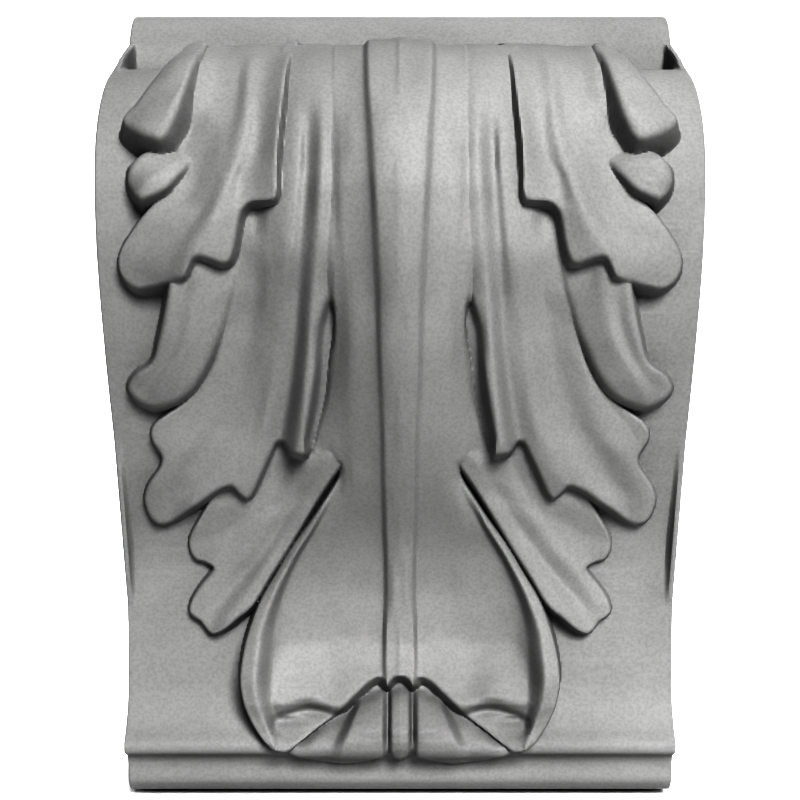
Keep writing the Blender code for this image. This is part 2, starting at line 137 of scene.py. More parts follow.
def body_profile():
    """Top edge, quarter-round nose, groove, ellipse of the roll, smooth sweep, flat underside."""
    nose = ellipse((SLAB_DEPTH, TOP - NOSE[1]), NOSE, *NOSE_TURN, NOSE_POINTS)
    groove = nose[-1]
    roll = ellipse(ROLL_CENTRE, ROLL_SIZE, *ROLL_TURN, ROLL_POINTS)
    back = groove + np.array(ROLL_BACK) * MM
    neck = smooth_curve(np.vstack([groove, back, roll[0]]), False, PIECE_POINTS)
    sweep = smooth_curve(np.vstack([roll[-2:], np.array(SWEEP) * MM]), False, PIECE_POINTS)
    return np.vstack([[(0.0, TOP)], nose, neck[1:], roll[1:-1], sweep[1:],
                      [(FOOT_DEPTH, -TOP), (0.0, -TOP)]])


def walked(points):
    """Distance walked along the line up to each point."""
    return np.concatenate([[0.0], np.cumsum(np.linalg.norm(np.diff(points, axis=0), axis=1))])


outline_length = walked(body_profile())[-1]
print("the outline is", round(outline_length, 3), "m long from the top edge to the foot")

# %% [markdown]
# ## Rows and columns
#
# The carved face is one sheet of points: rows follow the side outline from the top edge down to the foot,
# columns run from the middle of the block out to its side.  Only half is made, because the corbel is the
# same left and right.  The rows are half a millimetre apart where the leaf is, and wider where the stone
# is plain, so the points go where the detail is.

# %% Rows and columns
FINE = 0.00055                      # spacing where the leaf is
COARSE = 0.0016                     # spacing where the stone is plain
ARRIS = 0.0009                      # the corners along both sides are rubbed round by this radius
ARRIS_COLUMNS = 6                   # columns round such a corner


def resample(points, steps):
    """The same line with new points; steps are (distance walked, spacing from there on)."""
    walk = walked(points)
    marks = [np.linspace(start, end, max(2, int((end - start) / step)), endpoint=False)
             for (start, step), (end, _) in zip(steps, steps[1:] + [(walk[-1], 1.0)])]
    marks = np.unique(np.concatenate(marks + [[walk[1], walk[-2], walk[-1]]]))
    return np.stack([np.interp(marks, walk, points[:, k]) for k in (0, 1)], axis=1), marks


rough_profile = body_profile()
rough_walk = walked(rough_profile)
roll_top = int(np.argmax(np.where(rough_profile[:, 0] > ROLL_CENTRE[0], rough_profile[:, 1], -1)))
foot_walk = rough_walk[-3]          # distance walked to the end of the sweep
profile, arcs = resample(rough_profile, [(0.0, COARSE), (SLAB_DEPTH, FINE), (foot_walk, COARSE)])
round_corner = np.sin(np.radians(np.linspace(0, 90, ARRIS_COLUMNS)))
across = np.concatenate([np.linspace(0, WIDTH / 2 - ARRIS, int(WIDTH / 2 / FINE))[:-1],
                         WIDTH / 2 - ARRIS * (1 - round_corner)])
depth, height = profile[:, 0], profile[:, 1]
crest = int(np.argmin(np.abs(arcs - rough_walk[roll_top])))
foot = int(np.argmin(np.abs(arcs - foot_walk)))
print(len(profile), "rows by", len(across), "columns")
print("the roll's top is row", crest, "and the foot is row", foot)

# %% [markdown]
# ## Flow lines
#
# A carver draws the ribs and valleys of a leaf as long lines that run from its root to its tip.  Here a
# flow line is a few points (distance from the middle, height on the body, how far the surface stands
# forward of the body).  Between neighbouring lines the surface is stretched like cloth over wires.  The
# formula never overshoots its points, so a sharp valley stays a valley and no false waves appear.

# %% Flow line helpers
LINE_GAP = 0.0004                   # neighbouring flow lines stay at least this far apart


def slopes(x, y):
    """Tangent at each value: the weighted harmonic mean of the slopes before and after, zero at a turn."""
    gaps = np.diff(x, axis=0)
    rise = np.diff(y, axis=0) / gaps
    first, second = 2 * gaps[1:] + gaps[:-1], gaps[1:] + 2 * gaps[:-1]
    same = rise[:-1] * rise[1:] > 0
    a, b = np.where(same, rise[:-1], 1.0), np.where(same, rise[1:], 1.0)
    middle = np.where(same, (first + second) / (first / a + second / b), 0.0)
    return np.concatenate([rise[:1], middle, rise[-1:]])


def blend_through(x, y, where):
    """Cubic pieces through the values y at x, read at every column of where, and flat beyond the ends."""
    tangents = slopes(x, y)
    result = np.repeat(y[:1].T, where.shape[1], axis=1)
    for i in range(len(x) - 1):
        start, gap = x[i][:, None], (x[i + 1] - x[i])[:, None]
        t = (where - start) / gap
        u = np.clip(t, 0, 1)
        leave, arrive = gap * tangents[i][:, None], gap * tangents[i + 1][:, None]
        value = cubic(u, y[i][:, None], y[i + 1][:, None], leave, arrive)
        result = np.where(t >= 0, value, result)
    return result


def along_line(line, heights):
    """Distance from the middle and relief of one flow line, at every row's height."""
    points = np.array(sorted(line, key=lambda point: point[1])) * MM
    z = points[:, 1:2]
    where = np.clip(heights, z[0, 0], z[-1, 0])[None, :]
    return [blend_through(z, points[:, k:k + 1], where)[0] for k in (0, 2)]


def relief_net(lines, columns, heights):
    """Relief of the surface stretched over the flow lines: first along each line, then across them."""
    pairs = [along_line(line, heights) for line in lines]
    x = np.array([pair[0] for pair in pairs])
    relief = np.array([pair[1] for pair in pairs])
    for i in range(1, len(x)):
        x[i] = np.maximum(x[i], x[i - 1] + LINE_GAP)
    return blend_through(x, relief, np.repeat(columns[None, :], len(heights), axis=0))


print("a line from 0 to 10 mm, halfway:", along_line([(0, 0, 0), (10, 10, 5)], np.array([0.005])))

# %% [markdown]
# ## Outlines and their edges
#
# Each lobe of the leaf is cut out of its surface by an outline.  The stone turns over a small rounded
# arris there and then falls steeply, which gives the crisp shadow lines of carved acanthus.  So the helper
# measures how far each point of the sheet lies inside the outline and lowers it accordingly.  A lobe may
# have a gentler wall near the middle of the block, where the stone is rolled under instead of cut off.

# %% Edge helpers
OUTLINE_POINTS = 5                  # points on each piece of a lobe's outline
WALL_START = 0.03                   # the wall starts this share of the radius inside the outline
ROUNDING = 0.8                      # height of the rounded arris, as a share of its radius
UNDER_BLEND = 0.004                 # a rolled edge turns into a steep one over this width
TINY = 1e-18                        # keeps the division safe where a side of the outline is very short


def inside_distance(outline, x, y):
    """Distance to the nearest side of the closed outline, positive inside and negative outside."""
    nearest = np.full(x.shape, 1.0)
    inside = np.zeros(x.shape, dtype=bool)
    for (x0, y0), (x1, y1) in zip(outline, np.roll(outline, -1, axis=0)):
        run, rise = x1 - x0, y1 - y0
        t = np.clip(((x - x0) * run + (y - y0) * rise) / (run * run + rise * rise + TINY), 0, 1)
        nearest = np.minimum(nearest, (x - x0 - t * run)**2 + (y - y0 - t * rise)**2)
        if rise != 0:
            inside ^= ((y0 > y) != (y1 > y)) & (x < x0 + (y - y0) * run / rise)
    return np.where(inside, 1, -1) * np.sqrt(nearest)


def fade(values, start, end):
    """Smooth ramp from 0 to 1: three times t squared less two times t cubed."""
    t = np.clip((values - start) / (end - start), 0, 1)
    return t * t * (3 - 2 * t)


def edge_drop(distance, radius, slope):
    """Nothing farther in than the radius, then a quarter of an ellipse, then a straight steep wall."""
    turn = np.clip(1 - distance / radius, 0, 1 - WALL_START)
    rounded = ROUNDING * radius * (1 - np.sqrt(1 - turn**2))
    return rounded + np.clip(WALL_START * radius - distance, 0, None) * slope


def lobe_relief(lobe):
    """One lobe over the whole sheet: its stretched surface less the drop at its outline.

    The outline and the lines are in millimetres, "edge" is the radius of the arris and the slope of the
    wall, and "under" says up to which distance from the middle, below which height and with what slope
    the stone is rolled under.
    """
    columns, rows = np.meshgrid(across, arcs[crest:foot])
    rising = np.argsort(height[crest:foot])
    outline = smooth_curve(lobe["outline"], True, OUTLINE_POINTS) * MM
    outline[:, 1] = np.interp(outline[:, 1], height[crest:foot][rising], arcs[crest:foot][rising])
    radius, slope = lobe["edge"]
    if "under" in lobe:
        wide, high, gentle = lobe["under"]
        farther_out = fade(columns, wide * MM - UNDER_BLEND, wide * MM)
        steep = np.maximum(farther_out, height[crest:foot, None] > high * MM)
        slope = gentle + (slope - gentle) * steep
    surface = relief_net(lobe["lines"], across, height[crest:foot])
    return surface - edge_drop(inside_distance(outline, columns, rows), radius * MM, slope)


print("the wall 1 mm outside an edge has dropped", round(float(edge_drop(-1.0, 2.0, 4.0)), 2), "mm")

# %% [markdown]
# ## The central blade
#
# The middle of the leaf is a tall midrib with a crisp wall on both sides and a hollow panel beside it.
# Lower down the panel opens into a deep dish with a rolled rim, as if the leaf's end were turned forward.
# The first flow line is the crest of the midrib, the second its shoulder, the next two the top and the
# foot of its wall, and the rest run down the panel, round the dish and along its rim.

# %% The central blade
BLADE = {
    "outline": (
        (-11, 120.5), (36, 120.5), (33, 93), (32.5, 65), (32, 36.5), (26.5, 32.5), (23.5, 32.5),
        (22.5, 29.5), (22.5, 23.5), (24, 15), (26.5, 0), (30.5, -14.5), (31.5, -19), (29, -21.5),
        (24, -23), (21.5, -23), (22, -27), (25, -32.5), (32, -43), (39.5, -53.5), (46.5, -65),
        (52.5, -75.5), (57, -88), (58.5, -96), (59, -105), (57.5, -114), (54, -122), (49.5, -127.5),
        (45.5, -130), (42, -130.5), (38.5, -128.3), (31.5, -123.5), (24.5, -118.3), (19.5, -113),
        (15, -109), (12, -106.2), (8.5, -104.5), (6.3, -105), (4.8, -106.8), (3.6, -105.5),
        (1.8, -104.2), (0, -103.8), (-11.5, -104)),
    "edge": (2.0, 7.0),
    "under": (30, -95, 1.9),
    "lines": (
        ((0, 120, 12), (0, 101, 16), (0, 83, 23), (0, 67, 27), (0, 48, 26.5), (0, 20, 23), (0, -10, 19),
         (0, -32, 15), (0, -55, 10), (0, -67, 6.5), (0, -80, 4.5), (0, -91, 4), (0, -97, 5.5),
         (0, -103, 9)),
        ((2, 120, 11.5), (2, 101, 15.5), (2, 83, 23), (2, 67, 26.5), (2, 48, 26), (2, 20, 23),
         (2, -10, 18.5), (2, -32, 15), (2, -55, 9.5), (2, -80, 4.5), (2, -91, 3.5), (2, -97, 5),
         (2, -103, 8.5)),
        ((11, 118.5, 11), (9.5, 92.5, 18.5), (8, 79, 23), (7.5, 67.5, 25.5), (6.5, 51.5, 25),
         (6, 32.5, 23), (6, 16.5, 21.5), (5.5, 0, 19), (5, -14, 17.5), (5, -29, 15), (4.5, -44, 12),
         (4.5, -60, 7.5), (4.5, -76, 4), (5, -91.5, 3.5), (5, -101, 7), (4.5, -107, 10)),
        ((13.5, 118.5, 9), (12, 92.5, 16), (11, 79, 20), (10, 67.5, 22.5), (9.5, 51.5, 22),
         (8.5, 32.5, 20), (8, 16.5, 19), (7.5, 0, 17), (7, -14, 15.5), (7, -29, 13), (7, -44, 9.5),
         (6.5, -60, 5), (6.5, -76, 1.5), (7, -91.5, 0.7), (7, -100, 4), (6.5, -107, 9)),
        ((17.5, 119, 9), (16.5, 93.5, 14.5), (16.5, 79.5, 18), (16.5, 67.5, 20), (17, 52, 19.2),
         (17, 33, 17.5), (16.5, 16.5, 16), (17, 0, 14), (17.5, -14, 12.5), (17, -29, 11.5),
         (17.5, -44, 8.5), (18, -60, 4.5), (18.5, -76, 1), (18.5, -89, 0.5), (18.3, -99, 3.5),
         (18, -106.5, 7.5), (18, -113, 10)),
        ((18.5, 119, 9), (18, 93.5, 14.2), (18, 80, 17.2), (18, 68, 19.6), (18.3, 52, 18.9),
         (18.8, 33, 16.4), (18.8, 17, 14.4), (20, 0, 12.4), (20.5, -14, 11.4), (18.2, -29, 11),
         (20, -44, 8.5), (23, -60, 4.8), (25, -75.5, 1.8), (26.5, -91, 0.8), (26, -101, 4),
         (25, -109.5, 8), (24.5, -113.3, 10), (24.5, -118, 6)),
        ((20.5, 119, 9), (19.5, 93.5, 14), (19.5, 80, 16.5), (19.5, 68, 19), (19.5, 52, 18.4),
         (20.5, 33, 15.5), (20.5, 17, 13), (22.5, 0, 11), (23.5, -14.5, 10.5), (19.5, -29, 10.5),
         (22.5, -44, 8.5), (28.5, -60, 5), (32.5, -75.5, 2.5), (35.5, -91, 2), (35.5, -101, 5.5),
         (35, -108, 9.5), (34.5, -110.5, 10.5), (34, -113, 9), (33.5, -117.3, 3.8), (33, -119, 5),
         (32, -121.5, 5.8)),
        ((22, 119, 9), (20.8, 93.5, 13.8), (20.8, 80, 15.6), (20.8, 68, 18), (21, 52, 17.8),
         (22, 33, 14.8), (22, 17, 12), (24.5, 0, 9.8), (26, -14.5, 9.6), (20.2, -29, 10), (25, -44, 8.3),
         (34.5, -60, 5.3), (40, -75.5, 4), (43.5, -91, 4), (44, -101, 7), (44.3, -109, 10),
         (44.5, -112.5, 11), (44.5, -115.5, 9), (44.3, -120.5, 3.4), (43.8, -122.5, 5),
         (42.5, -126.5, 6.5)),
        ((23, 120, 9), (22, 94, 13.5), (22.5, 80, 14.5), (22.5, 68, 17), (23, 52, 17.3), (23.5, 36.5, 14),
         (22.5, 30, 12.5), (23.5, 17, 11), (26.5, 0, 8.5), (30.5, -14.5, 8.4), (27.5, -21, 9),
         (21.8, -29, 9.3), (28.6, -44, 8), (37.7, -59.5, 6), (44, -75, 5.8), (47, -90, 6.5),
         (47.5, -104.5, 9), (47.2, -112, 10.8), (47, -117, 8), (46.6, -121, 4.5), (45.5, -125.5, 7.5)),
        ((28, 120, 4.5), (27, 94, 9), (27.5, 80, 10), (27.5, 68, 12.5), (28, 52, 13.5),
         (28.5, 36.5, 9.5), (28.5, 30, 12.5), (29.5, 17, 11), (32.5, 0, 8.5), (36.5, -14.5, 8.4),
         (33.5, -21, 9), (22, -25.5, 9.5), (24, -29, 9.6), (30.6, -44, 10.2), (39.9, -59, 9.8),
         (47.7, -74, 11.5), (52.5, -89, 14), (53.5, -102.5, 18), (52.5, -112, 16.5), (50.5, -118, 13),
         (48.5, -123, 10), (46, -128, 8)),
        ((30, 120, 4.5), (29.5, 94, 9), (30, 52, 13.5), (30.5, 36.5, 9.5), (31, 30, 12.5), (35, 0, 8.5),
         (39, -14.5, 8.5), (24.5, -25.5, 9.5), (26.5, -29, 9.4), (32.8, -44, 9.4), (42, -59, 8.8),
         (50.3, -74, 10.5), (56, -89, 12.8), (57.3, -102.5, 16.8), (56, -112, 15.4), (53.7, -118, 12.2),
         (51.3, -123, 9.4), (48, -128, 7.6))),
}
blade = lobe_relief(BLADE)
print("the blade stands forward by up to", round(float(blade.max()) / MM, 1), "mm")

# %% [markdown]
# ## The tongue under the dish
#
# Below the dish a short tongue peeps out: a rounded middle bead between two narrow grooves, and a wing on
# each side that tucks under the rolled rim.

# %% The tongue
TONGUE = {
    "outline": (
        (-11.5, -98), (6, -98), (12, -100), (20, -106), (27, -113), (34, -119.5), (41, -126),
        (42.5, -130), (40.5, -132.5), (36.5, -134.5), (30, -136.3), (20, -137), (11, -135.5), (6, -133),
        (4, -132), (2.5, -133), (0, -135.8), (-11, -135.8)),
    "edge": (2.6, 3.0),
    "lines": (
        ((0, -102, 0.5), (0, -108, 1.5), (0, -110.5, 6.5), (0, -114, 10.5), (0, -118, 13),
         (0, -121.5, 14), (0, -125, 12), (0, -128, 9), (0, -131, 6.5), (0, -134, 5.5)),
        ((3, -103, 0.5), (3, -108.7, 1.2), (3, -111.2, 6), (3, -114.5, 10), (3, -118, 12.3),
         (3, -121.5, 13.3), (3, -125, 11.3), (2.8, -128, 8.3), (2.5, -131.5, 5.5)),
        ((4.5, -105, 0), (4.5, -110, 0.5), (4.5, -112.5, 3), (4.5, -117.5, 7.5), (4.5, -121.5, 9),
         (4.5, -125, 7.5), (4.5, -131.5, 3)),
        ((7, -103, 0.5), (7, -109.2, 1.2), (7, -111.7, 6), (7, -115, 10), (7, -118.3, 12.5),
         (7, -121.5, 13.5), (7, -125, 11.5), (7, -128, 8.5), (6.5, -132.5, 5.5)),
        ((12, -105, 0.5), (12.5, -111, 1.5), (14.5, -113.7, 6), (16.5, -117.5, 10.5), (18, -121.5, 12.8),
         (19.5, -125, 11.5), (20.5, -128.5, 8.8), (21, -134, 5.5)),
        ((14.5, -108, 0.5), (17.5, -115, 1.5), (20.5, -119.5, 4.5), (23, -123.5, 6.8), (25.3, -127.5, 6.5),
         (27, -133, 4.5)),
        ((20, -112, 0), (24.5, -119, 2), (28, -122.5, 4.5), (31.5, -126.5, 6.3), (33.5, -130, 5.5),
         (34.5, -133, 4.5)),
        ((26, -115, 0), (31, -122, 1), (36, -126.5, 2.5), (40.5, -129.5, 3.5), (42, -132, 3.5))),
}
tongue = lobe_relief(TONGUE)
print("the tongue stands forward by up to", round(float(tongue.max()) / MM, 1), "mm")

# %% [markdown]
# ## The middle lobe
#
# A broad side lobe starts under the roll beside the blade and sweeps down and outwards to two points.  It
# has a fold along its inner side, a valley, and two long ribs, so its flow lines fan out as they go down.

# %% The middle lobe
MIDDLE_LOBE = {
    "outline": (
        (16, 120.5), (15, 93), (15, 65), (16, 37), (19, 34), (20, 30), (20.5, 16), (23.5, 0),
        (28, -13), (31.5, -18), (34, -19.5), (36.5, -19), (39, -18.5), (42, -15), (44, -15.5), (46, -19),
        (49.5, -26), (53.5, -34), (55.5, -36), (58, -34.5), (60.5, -31.5), (62.5, -31.5), (67, -33.5),
        (72.5, -37.5), (78.5, -41), (85, -45.5), (89, -46), (92, -44), (93.5, -40.5), (94, -36),
        (92, -31), (89, -27), (86.5, -23.5), (86, -20.5), (87.5, -17.5), (89, -14.5), (89, -11),
        (87, -8), (83.5, -5.5), (73.5, 1.5), (65.5, 12), (61.5, 23.5), (59, 37), (67, 43.5),
        (66.5, 82), (52, 111.5)),
    "edge": (1.8, 3.6),
    "lines": (
        ((16, 120, 1), (15, 94, 5.5), (15.5, 80, 6.5), (15.5, 68, 9), (16, 52, 10), (19, 36.5, 9.5),
         (22, 23.5, 9), (23, 10, 7.5), (25.5, -2, 6.5), (30, -14, 7)),
        ((19, 120, 5), (18, 94, 9), (18.5, 80, 10), (18.5, 68, 12), (19, 52, 13), (21.5, 36.5, 10),
         (25.5, 23.5, 9.8), (26.8, 10, 8.8), (28.8, -2, 8.5), (32, -14, 10)),
        ((22.5, 120, 8.5), (21.5, 94, 13), (22, 80, 14.5), (22, 68, 17), (22.5, 52, 16.8),
         (24.5, 36.5, 14), (28, 23.5, 14), (30, 6.5, 16), (33.5, -14, 17)),
        ((27.5, 117.5, 9.5), (25.5, 93.5, 14), (25, 80, 15.5), (25.5, 68, 18), (26.5, 52, 17.5),
         (29, 33, 15), (30.5, 16.5, 15.5), (32.5, 0, 17), (34.5, -14, 17.5), (36, -19.5, 17)),
        ((32, 118.5, 9.5), (30.5, 94, 13), (31, 81, 11.5), (31.5, 69, 13), (33, 52.5, 13.4),
         (35, 33.5, 9.8), (37, 17, 9), (40, 0, 8.5), (43.5, -14.5, 8)),
        ((35.5, 118.5, 9.5), (33.5, 94.5, 12.5), (33, 80.5, 13), (34, 68.5, 14), (35.5, 52.5, 14.4),
         (38.5, 33.5, 10.5), (41.5, 17, 9), (45, 0, 9), (49.5, -14.5, 9), (57.5, -29, 9.5),
         (62, -36.5, 9)),
        ((40.5, 89.5, 10), (42, 72, 10.5), (43, 60, 11.5), (43, 49.5, 11.8), (43.5, 37, 10),
         (45.5, 23.5, 8), (47.5, 13.5, 7.5), (50, 0, 7), (53, -11, 7.5), (57.5, -18, 8),
         (64, -27.5, 8.5), (72, -35.5, 8.5), (78, -44, 8)),
        ((47, 73, 7), (48.5, 60, 8), (48.5, 50, 9.5), (49, 43.5, 8.5), (49.5, 37, 7.5), (51.5, 29, 6),
         (53.5, 19, 5.5), (56, 8.5, 5), (59, 0, 5), (63, -9, 5), (69.5, -18, 5.5), (76.5, -27.5, 5.5),
         (82, -34, 5), (85, -43, 5)),
        ((54, 50, 8), (55.5, 37, 7.5), (57.5, 24, 6), (60.5, 17, 6), (64.5, 8.5, 6), (67, 0, 6),
         (70.5, -9, 6), (77, -18, 6.5), (84, -27.5, 6), (88, -34, 5.5), (89.5, -43, 5)),
        ((60, 33.5, 7.5), (63, 24, 6.5), (67.5, 13.5, 5.5), (73, 0, 5), (81.5, -9, 4.5),
         (87.5, -18, 4.5), (91.5, -27.5, 5), (94, -34, 4.5), (95, -43, 4))),
}
middle_lobe = lobe_relief(MIDDLE_LOBE)
print("the middle lobe stands forward by up to", round(float(middle_lobe.max()) / MM, 1), "mm")

# %% [markdown]
# The middle lobe has a third point, a tip that lies over it: it comes out from under the upper lobe and
# bends outwards in a hook, with two ridges along it.

# %% The tip over the middle lobe
MIDDLE_TIP = {
    "outline": (
        (53, 48), (55.5, 37), (58, 30), (60.5, 23.5), (64, 16.5), (68, 9), (72, 3.5), (76.5, 0),
        (81, -2), (85.5, -3), (90, -2), (94, 1), (95.5, 4), (94.5, 6.5), (91.5, 9.5), (87, 12),
        (84.5, 15), (83, 19.5), (81, 26), (79, 33.5), (76.5, 41.5), (68, 48)),
    "edge": (2.4, 3.0),
    "lines": (
        ((54, 37, 8), (57.5, 30, 7.5), (62, 19.5, 8), (67, 9, 8.5), (71, 2.5, 8), (74, -3, 6.5)),
        ((63, 40, 10), (64.5, 30, 9.8), (67.5, 19, 10), (72.5, 9, 10), (77, 2, 9), (80, -4, 7)),
        ((68, 43, 12), (69.5, 33, 11.3), (72.5, 21, 11.5), (78, 11, 11), (83, 3, 9.5), (86, -4, 7)),
        ((72, 38, 11), (74.5, 27, 10.6), (78, 18, 10.2), (83.5, 10, 9.3), (88, 4, 8), (91, -3, 6.5)),
        ((76.5, 36, 11.6), (78.5, 25, 11.4), (82, 17, 10.5), (88, 10, 9), (92.5, 4, 7)),
        ((80, 36.5, 10.5), (82.5, 25, 10.5), (86, 17, 9.8), (92, 10, 8), (96, 4, 6))),
}
middle_tip = lobe_relief(MIDDLE_TIP)
print("its tip stands forward by up to", round(float(middle_tip.max()) / MM, 1), "mm")

# %% [markdown]
# ## The lower lobe
#
# The lowest side lobe grows out of the bottom of the panel and runs beside the dish to two points.  It is
# the flattest of all: one low rib and two soft valleys.

# %% The lower lobe
LOWER_LOBE = {
    "outline": (
        (35.5, -9), (17.5, -9), (18, -18), (21, -23.5), (25.3, -29.5), (29.5, -36), (35.3, -45.5),
        (41.5, -55.5), (48.5, -66.5), (53.5, -75), (57, -79), (60, -81.2), (65, -85.5), (70, -88),
        (72.5, -87), (75, -83.5), (78, -81.5), (79.5, -79),
        (78.5, -75), (75, -69.5), (72, -66), (70, -63), (73, -61), (76.5, -60), (78.5, -57), (79, -53),
        (77.5, -49), (73.5, -42.5), (63.5, -27.5), (46.5, -13)),
    "edge": (1.6, 4.0),
    "lines": (
        ((17, -11, 8), (18.5, -18.5, 9.3), (22.5, -25, 9.8), (26.5, -30, 9.5), (31, -37, 8.8),
         (37, -46, 8.8), (43, -56, 9.3), (50, -67, 9.8), (55, -76, 10)),
        ((22, -11, 7), (23, -17, 9.6), (25.5, -21, 10.1), (29, -27.5, 9.2), (34, -36.5, 7.8),
         (40, -46, 7.8), (46, -56, 8.8), (52, -65.5, 9.3), (58.5, -75, 9.3), (63, -81, 8.8),
         (66, -88, 8)),
        ((27.5, -12, 6), (28.5, -17.5, 8.6), (29.8, -22, 9), (33, -27.5, 8), (38.5, -36.5, 5.8),
         (44.5, -46.5, 6), (51.5, -56, 6.5), (59, -65.5, 5.5), (67.5, -75, 5), (72, -82, 5), (74, -88, 5)),
        ((32.5, -14.5, 5), (34.5, -21, 8), (37.5, -27.5, 6.5), (42.5, -37.5, 5.5), (49.5, -46, 6.5),
         (56.5, -56, 7), (65.5, -65.5, 6), (71.5, -74, 5.5), (76, -82, 5), (78, -88, 5)),
        ((39.5, -18, 4), (43.5, -27.5, 3.5), (49.5, -37, 4), (56.5, -46.5, 5), (63.5, -56, 5.5),
         (69.5, -62.5, 5), (75.5, -74, 5), (80, -82, 5)),
        ((52.5, -27.5, 4), (59, -37, 4.5), (64.5, -46.5, 4), (72, -54, 4), (77, -61, 3.5),
         (82, -80, 4)),
        ((62, -33, 3.5), (68.5, -40.5, 4), (73, -46.5, 4), (79, -54, 3.5), (84, -80, 3.5))),
}
lower_lobe = lobe_relief(LOWER_LOBE)
print("the lower lobe stands forward by up to", round(float(lower_lobe.max()) / MM, 1), "mm")

# %% [markdown]
# ## The upper lobe
#
# Over the roll lies a third lobe that bends outwards and ends in a blunt, undercut point.  A ridge runs
# along its inner side, a second one joins it lower down, and the outer half falls away in a hollow.

# %% The upper lobe
UPPER_LOBE = {
    "outline": (
        (66.5, 120.5), (34, 120.5), (36, 120), (37.5, 110), (38, 103), (38.5, 92.5), (39.5, 82.5),
        (40, 74.5), (40, 68), (41, 65.5), (43, 65), (48, 65), (50.5, 64), (52.5, 61), (54, 53.5),
        (55.5, 48), (57, 45.5), (59, 45), (62, 46), (66, 47), (68, 46.5), (70, 43.5), (71.5, 41),
        (74, 40), (79, 39), (84, 38), (89, 37.5), (92.5, 39.5), (94.5, 42.5), (95, 46.5), (93.5, 51),
        (90.5, 55.5), (87, 60), (83, 64.5), (76, 71), (72.5, 78.5), (78, 86), (75.5, 99.5), (72, 115)),
    "edge": (1.5, 3.8),
    "lines": (
        ((34.5, 114, 10), (37, 109, 12), (38, 103, 13.5), (38.5, 92.5, 16), (40, 79.5, 17),
         (40, 68, 17.5), (40, 65.5, 17.5)),
        ((45.5, 114.5, 9.5), (46.5, 109, 10), (47, 101.5, 11), (47.5, 95, 12), (47.5, 87.5, 12),
         (48.5, 80.5, 12), (52, 74, 12), (53, 65.5, 13.5), (52.5, 63, 14)),
        ((49.5, 114, 9.5), (51, 108.5, 10.5), (50.5, 94.5, 12.5), (51, 87, 13), (52.5, 80.5, 13),
         (55.5, 73.5, 13.5), (58.5, 65, 15.5), (62, 57, 16.5), (67, 49, 16.5), (69, 45, 16)),
        ((56, 115, 9), (55, 102, 10), (55.5, 92.5, 10.5), (58, 81, 11), (62, 72.5, 11),
         (64.5, 65, 12.5), (70.5, 56.5, 12.5), (75.5, 49, 12.5), (78, 43, 12), (79, 39.5, 11)),
        ((61, 116.5, 8.5), (61.5, 102.5, 9.5), (62.5, 94.5, 9.5), (65, 85, 8), (67.5, 77.5, 7.5),
         (71.5, 68, 8.5), (78, 59.5, 10), (84, 52.5, 9), (86, 47.5, 9), (87, 39, 8)),
        ((67, 115, 9), (66.5, 103.5, 10.5), (66.5, 96, 10), (70, 87, 6.5), (73, 77.5, 6.5),
         (77.5, 69, 8), (84.5, 61.5, 8), (90, 54.5, 7.5), (93, 48.5, 7), (93.5, 42, 6.5))),
}
upper_lobe = lobe_relief(UPPER_LOBE)
print("the upper lobe stands forward by up to", round(float(upper_lobe.max()) / MM, 1), "mm")

# %% [markdown]
# Two small lobes finish the upper corner: a little tongue that grows out of the upper lobe's hollow, and
# the top lobe, which is cut off square by the top of the roll.

# %% The two small lobes
UPPER_TIP = {
    "outline": (
        (67.5, 79.5), (70, 77.5), (73, 74), (77, 69.5), (81.5, 67), (84, 66), (86, 66), (89, 68.5),
        (90.5, 72.5), (90, 76.5), (88, 79), (85.5, 81.5), (78, 84.5), (69.5, 85)),
    "edge": (2.2, 3.2),
    "lines": (
        ((66, 81.5, 5), (68, 79, 7), (72.5, 74.5, 10.5), (78.5, 68, 13), (84, 66, 12)),
        ((73, 83, 5), (77, 78, 9.8), (82, 72, 12.5), (85.5, 68, 12)),
        ((83, 82, 7.5), (87.5, 78.5, 9.5), (89.5, 75, 9), (89.5, 69.5, 8.5))),
}
TOP_LOBE = {
    "outline": (
        (68.5, 118.5), (68.5, 111.5), (69.5, 104.5), (70.5, 97.5), (72, 91.5), (74, 87.5), (76, 84.5),
        (78.5, 83), (82, 83.5), (86.5, 85), (90.5, 87.5), (92, 89.5), (91.5, 91), (87.5, 95),
        (83, 102.5), (80, 109.5), (77.5, 115), (75.5, 120.5)),
    "edge": (2.2, 3.2),
    "lines": (
        ((68, 114, 10.5), (69, 105.5, 14), (71.5, 98, 16), (74.5, 92.5, 17), (78, 87, 16),
         (80, 85, 15.5)),
        ((73, 114, 10), (75, 105, 13.5), (77.5, 98, 15), (81, 92.5, 15), (84.5, 87, 14.5)),
        ((78, 114.5, 9), (81.5, 103.5, 11.5), (85.5, 97, 12.5), (90, 90.5, 12))),
}
upper_tip, top_lobe = lobe_relief(UPPER_TIP), lobe_relief(TOP_LOBE)
print("the small lobes stand forward by up to", round(float(top_lobe.max()) / MM, 1), "mm")

# %% [markdown]
# ## The whole face
#
# Where lobes overlap, the one in front hides the one behind.  Seen from the stone, the one in front is
# simply the highest, so the whole leaf is the largest of all these surfaces at each point, and never less
# than the bare body.  The leaf runs over the top of the roll and dies away behind it.  Then each point
# of the body is moved by its relief: straight forward on the sweep, and up and forward on the roll.

# %% The whole face
FADE = 0.012                        # the leaf dies away over this length behind the roll's top
WEB = 0.0035                        # thickness of the thin fins of stone along both side edges
WEB_FRONT = 0.065                   # the fins change only what lies farther from the wall than this
WEB_TOP = 0.136                     # height at which the fin leaves the slab
WEB_ROLL = (0.1, 0.1)               # the fin meets the roll beyond this depth and height
WEB_SWEEP = (-0.015, -0.078)        # heights between which the fin bridges the sweep


